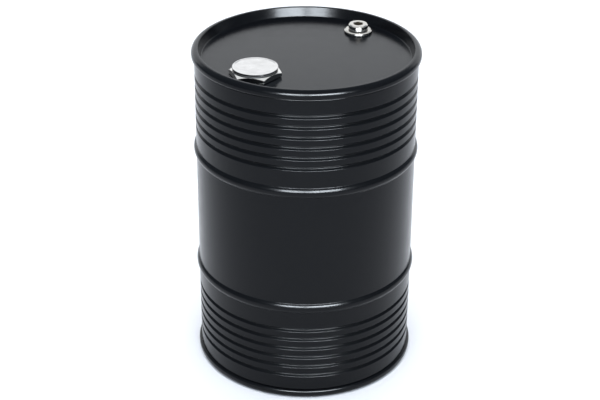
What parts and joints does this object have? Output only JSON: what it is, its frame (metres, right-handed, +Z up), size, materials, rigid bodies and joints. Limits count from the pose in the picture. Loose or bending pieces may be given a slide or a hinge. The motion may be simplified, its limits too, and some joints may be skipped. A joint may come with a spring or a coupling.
{
  "type": "steel drum",
  "caption": "Tall closed steel drum with a beaded and hooped body, seamed heads, and a large and a small screwed closure in its top.",
  "frame": {"origin": "centre of the ring that the drum stands on, at its base", "axes": "+Z up along the drum's axis; the large closure lies towards -X -Y and the small one towards +X +Y"},
  "size_m": [0.5849, 0.585, 0.88],
  "materials": {
    "black_paint": "satin black enamel, fine orange peel",
    "plated_steel": "bright nickel plate, finely turned",
    "zinc": "dull zinc plate",
    "rubber": "matt",
    "compound": "dried sealing compound"
  },
  "bodies": {
    "drum": {"body_shell": "black_paint", "top_head": "black_paint", "bottom_head": "black_paint", "top_seam_compound": "compound", "bottom_seam_compound": "compound", "large_flange": "plated_steel", "large_flange_gasket": "rubber", "large_inner_gasket": "rubber", "large_back_nut": "zinc", "small_flange": "plated_steel", "small_flange_gasket": "rubber", "small_inner_gasket": "rubber", "small_back_nut": "zinc"},
    "large_seal": {"large_plug_gasket": "rubber"},
    "large_plug": {"large_plug": "plated_steel"},
    "small_seal": {"small_plug_gasket": "rubber"},
    "small_plug": {"small_plug": "plated_steel"}
  },
  "joints": [
    {"name": "large_plug_lift", "type": "slide", "parent": "drum", "child": "large_seal", "axis": [0, 0, 1], "range_m": [0, 0.0181]},
    {"name": "large_plug_turn", "type": "hinge", "parent": "large_seal", "child": "large_plug", "pos_m": [-0.12571, -0.1334, 0.87], "axis": [0, 0, 1], "range_deg": [0, 2806]},
    {"name": "small_plug_lift", "type": "slide", "parent": "drum", "child": "small_seal", "axis": [0, 0, 1], "range_m": [0, 0.0146]},
    {"name": "small_plug_turn", "type": "hinge", "parent": "small_seal", "child": "small_plug", "pos_m": [0.13522, 0.16002, 0.863], "axis": [0, 0, 1], "range_deg": [0, 2877]}
  ],
  "couplings": [
    {"joint": "large_plug_lift", "follows": "large_plug_turn", "m_per_rad": 0.00036749},
    {"joint": "small_plug_lift", "follows": "small_plug_turn", "m_per_rad": 0.00028874}
  ]
}
